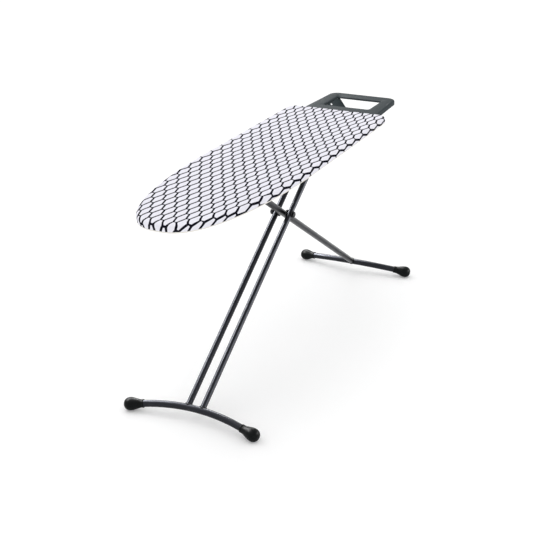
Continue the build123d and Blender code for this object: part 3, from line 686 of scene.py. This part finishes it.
def make_iron_rest(material):
    """Open moulded frame: crowned top, rolled edges, a sloped far bar and walls turned down."""
    low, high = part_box("iron_rest")
    near, far = low.x, high.x
    outer = rounded_loop([(near, -REST_NEAR_HALF), (far, -REST_FAR_HALF),
                          (far, REST_FAR_HALF), (near, REST_NEAR_HALF)],
                         [REST_CORNER, REST_FAR_CORNER, REST_FAR_CORNER, REST_CORNER])
    x0, x1, half = OPENING_NEAR_X, OPENING_FAR_X, OPENING_HALF
    inner = rounded_loop([(x0, -half), (x1, -half), (x1, half), (x0, half)], [REST_CORNER] * 4)
    top, bottom, inner_bottom = high.z, high.z - REST_DEPTH, high.z - OPENING_DEPTH
    wall, outer_r, inner_r, lip = 0.003, 0.0055, 0.0035, 0.0008
    rings = []

    def ring(side, inset, z):
        rings.append((side, inset, z))

    ring("i", wall * 0.9, inner_bottom)
    ring("i", lip, inner_bottom)
    ring("i", 0.0, inner_bottom + lip)
    ring("i", 0.0, (inner_bottom + lip + top - inner_r) / 2)
    for k in range(6):
        turn = math.pi / 2 * k / 5
        ring("i", inner_r * (1 - math.cos(turn)), top - inner_r + inner_r * math.sin(turn))
    for share in (0.2, 0.3, 0.36, 0.42, 0.5, 0.62, 0.76, 0.88):
        ring("m", share, top)
    for k in range(8):
        turn = math.pi / 2 * (1 - k / 7)
        ring("o", outer_r * (1 - math.cos(turn)), top - outer_r + outer_r * math.sin(turn))
    for share in (0.66, 0.33):
        ring("o", 0.0, bottom + lip + (top - outer_r - bottom - lip) * share)
    ring("o", 0.0, bottom + lip)
    ring("o", lip, bottom)
    ring("o", wall * 0.9, bottom)
    ring("o", wall, bottom + 0.004)
    ring("o", wall, top - wall - 0.004)
    ring("o", wall + 0.003, top - wall - 0.0004)
    ring("m", 0.5, top - wall - 0.0002)
    ring("i", wall + 0.003, top - wall - 0.0004)
    ring("i", wall, top - wall - 0.002)

    points = []
    for side, inset, z in rings:
        for a, b in zip(inner, outer):
            gap = (b - a).length
            way = (b - a) / gap
            if side == "i":
                p, t = a + way * inset, inset / gap
            elif side == "o":
                p, t = b - way * inset, 1 - inset / gap
            else:
                p, t = a.lerp(b, inset), inset
            upper = 1.0 if z > top - outer_r else 0.0
            crown = 0.0009 * math.sin(math.pi * t) * upper
            on_far_bar = max(0.0, min(1.0, (a.x - x1 + 0.006) / 0.006))
            slope = 0.0042 * on_far_bar * max(0.0, 1 - t / 0.46) * upper
            points.append((p.x, p.y, z + crown - slope))
    made = piece("iron_rest_frame", points, ring_faces(len(rings), len(outer), wrap=True),
                 material, "board")
    face_outward(made)
    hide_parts("iron_rest")
    return made


# ------------------------------------------------------------------ feet and welds
FOOT_BEND = math.radians(15.0)
CAP_R = 0.021
FOOT_HALF = 0.4650 / 2 - CAP_R * math.cos(FOOT_BEND) - 0.001
LEG_ANGLE = math.radians(33.6)
FOOT_BAR_R = 0.011
FOOT_STRAIGHT = 0.050        # straight end of a foot bar, beyond its arch
FRONT_TUBE_R = 0.0095
FRONT_TUBE_Y = 0.0245
REAR_TUBE_R = 0.011
WELD_R = 0.0019
CAP_LENGTH = 0.0396          # from the cap's waist to its widest place
CAP_MOUTH_R = 0.0127
CAP_BULB_R = 0.0208


def leg_frame(toward):
    """Pivot point, direction up the leg, and direction out of the leg's plane."""
    pin_low, pin_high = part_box("pivot_bush")
    pivot = (pin_low + pin_high) / 2
    up = Vector((toward * math.cos(LEG_ANGLE), 0, math.sin(LEG_ANGLE)))
    return pivot, up, Vector((0, 1, 0)).cross(up)


def make_caps(material):
    """Bulb-shaped rubber feet with a beaded mouth and a waist ring."""
    for name, toward, body in (("front", 1, "front_leg"), ("rear", -1, "rear_leg")):
        pivot, up, _ = leg_frame(toward)
        lower_arm = (pivot.z - CAP_R) / math.sin(LEG_ANGLE)
        for side, s in (("left", 1), ("right", -1)):
            centre = pivot - up * lower_arm + Vector((0, s * FOOT_HALF, 0))
            outward = Vector((0, s * math.cos(FOOT_BEND), 0)) - up * math.sin(FOOT_BEND)
            profile = [(-0.0440, 0.0112), (-0.0440, 0.0122), (-0.0436, 0.0130), (-0.0426, 0.0134),
                       (-0.0412, 0.0134), (-0.0403, 0.0131), (-CAP_LENGTH, CAP_MOUTH_R)]
            for k in range(1, 17):
                share = k / 16
                along = CAP_LENGTH * (share - 1)
                swell = CAP_MOUTH_R + (CAP_BULB_R - CAP_MOUTH_R) * smooth_step(share)
                profile.append((along, swell))
            for k in range(1, 15):
                turn = math.pi / 2 * k / 14
                blunt = math.sin(turn) ** 0.92
                profile.append((CAP_R * blunt, CAP_BULB_R * math.cos(turn) ** 0.86))
            made = lathe(f"{name}_foot_cap_{side}", profile, centre, outward,
                         material, body)
            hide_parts(f"{name}_cap_{side}")


def make_foot_welds(material):
    """Weld beads where the leg tubes stand on the arched foot bars."""
    arch_r = (FOOT_HALF - FOOT_STRAIGHT * math.cos(FOOT_BEND)) / math.sin(FOOT_BEND)
    rise = arch_r * (1 - math.cos(FOOT_BEND)) + FOOT_STRAIGHT * math.sin(FOOT_BEND)
    for name, toward, body, tubes in (
        ("front", 1, "front_leg", ((FRONT_TUBE_Y, FRONT_TUBE_R), (-FRONT_TUBE_Y, FRONT_TUBE_R))),
        ("rear", -1, "rear_leg", ((0.0, REAR_TUBE_R),)),
    ):
        pivot, up, out = leg_frame(toward)
        lower_arm = (pivot.z - CAP_R) / math.sin(LEG_ANGLE)
        for k, (across, tube_r) in enumerate(tubes):
            drop = arch_r - math.sqrt(arch_r**2 - across**2)
            base = pivot - up * (lower_arm - rise + drop) + Vector((0, across, 0))
            loop = []
            for i in range(64):
                turn = 2 * math.pi * i / 64
                reach = tube_r + 0.0004
                side, front = reach * math.cos(turn), reach * math.sin(turn)
                held = min(abs(front), FOOT_BAR_R * 0.985)
                height = math.sqrt(FOOT_BAR_R**2 - held**2) + 0.0006
                loop.append(base + Vector((0, side, 0)) + out * front + up * height)
            bead(f"{name}_weld_{k}", loop, WELD_R, material, body)


# ------------------------------------------------------------------ build
make_camera()
make_stage()

materials = {
    "cover_fabric": cover_material(),
    "felt": felt_material(),
    "panel_steel": painted_steel("panel_steel", (0.50, 0.51, 0.52), (0.58, 0.59, 0.60)),
    "frame_steel": painted_steel("frame_steel", (0.050, 0.052, 0.056), (0.080, 0.082, 0.088)),
    "leg_steel": graphite_metal(),
    "zinc": zinc_metal(),
    "rest_plastic": moulded_plastic("rest_plastic", (0.032, 0.042, 0.046), (0.044, 0.054, 0.059),
                                    specular=0.025),
    "grip_plastic": moulded_plastic("grip_plastic", (0.018, 0.018, 0.020), (0.030, 0.030, 0.033)),
    "bush_nylon": moulded_plastic("bush_nylon", (0.012, 0.012, 0.014), (0.022, 0.022, 0.025), 900),
    "foot_rubber": rubber_material(),
}
slot_of = {row["node"]: row["material_slot"] for row in frame["record"]["subparts"]}
for node, obj in NODES.items():
    obj.data.materials.clear()
    obj.data.materials.append(materials[slot_of[node]])

make_cover(materials["cover_fabric"], plain_cotton())
make_padding(materials["felt"])
make_iron_rest(materials["rest_plastic"])
make_caps(materials["foot_rubber"])
make_foot_welds(weld_metal())
